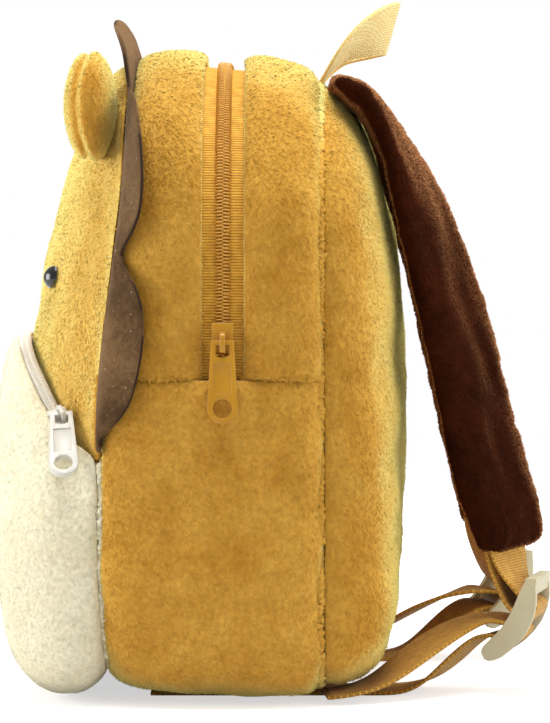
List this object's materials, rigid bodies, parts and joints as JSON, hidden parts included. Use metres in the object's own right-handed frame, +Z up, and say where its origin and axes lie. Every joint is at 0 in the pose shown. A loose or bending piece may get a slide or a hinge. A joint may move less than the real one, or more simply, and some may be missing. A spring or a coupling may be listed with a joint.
{
  "type": "plush animal backpack",
  "caption": "Small soft plush backpack with a lion's face, felt mane, stuffed ears, zipped arched front pocket, padded shoulder straps with adjusters and a hang loop.",
  "frame": {"origin": "on the floor, at the middle of the whole object's box seen from above", "axes": "+Z up, the face looks along -Y, the shoulder straps hang at +Y, the wearer's right is +X"},
  "size_m": [0.2248, 0.2367, 0.2944],
  "materials": {
    "mustard_plush": "short-pile plush, matt with a soft sheen",
    "brown_plush": "short-pile plush, matt with a soft sheen",
    "cream_plush": "short-pile plush, matt",
    "brown_felt": "pressed felt, matt, cut edges",
    "mustard_webbing": "ribbed woven webbing, satin",
    "mustard_tape": "woven zip tape, matt",
    "mustard_zip": "nylon coil and enamelled slider, satin",
    "white_tape": "woven zip tape, matt",
    "white_zip": "nylon coil and enamelled slider, satin",
    "tan_plastic": "moulded acetal, satin",
    "black_eye": "polished"
  },
  "bodies": {
    "bag": {"front_panel": "mustard_plush", "back_panel": "mustard_plush", "gusset_lower": "mustard_plush", "gusset_upper_front": "mustard_plush", "gusset_upper_back": "mustard_plush", "zip_tape_front": "mustard_tape", "zip_tape_back": "mustard_tape", "zip_chain": "mustard_zip", "zip_slider": "mustard_zip", "pocket_panel": "cream_plush", "pocket_tape_back": "white_tape", "pocket_tape_front": "white_tape", "pocket_chain": "white_zip", "pocket_slider": "white_zip", "mane": "brown_felt", "ear_right": "mustard_plush", "ear_left": "mustard_plush", "eye_right": "black_eye", "eye_left": "black_eye", "strap_pad_right": "brown_plush", "strap_pad_left": "brown_plush", "strap_loop_right": "mustard_webbing", "strap_loop_left": "mustard_webbing", "ladder_lock_right": "tan_plastic", "ladder_lock_left": "tan_plastic", "strap_web_right": "mustard_webbing", "strap_web_left": "mustard_webbing", "handle_loop": "mustard_webbing"},
    "zip_pull": {"zip_pull": "mustard_zip"},
    "pocket_pull": {"pocket_pull": "white_zip"}
  },
  "joints": [
    {"name": "zip_pull_hinge", "type": "hinge", "parent": "bag", "child": "zip_pull", "pos_m": [0.105, -0.01975, 0.149], "axis": [0, -1, 0], "range_deg": [0, 155]},
    {"name": "pocket_pull_hinge", "type": "hinge", "parent": "bag", "child": "pocket_pull", "pos_m": [0.07655, -0.0865, 0.11861], "axis": [0.0605, -0.9962, -0.0627], "range_deg": [0, 120]}
  ]
}
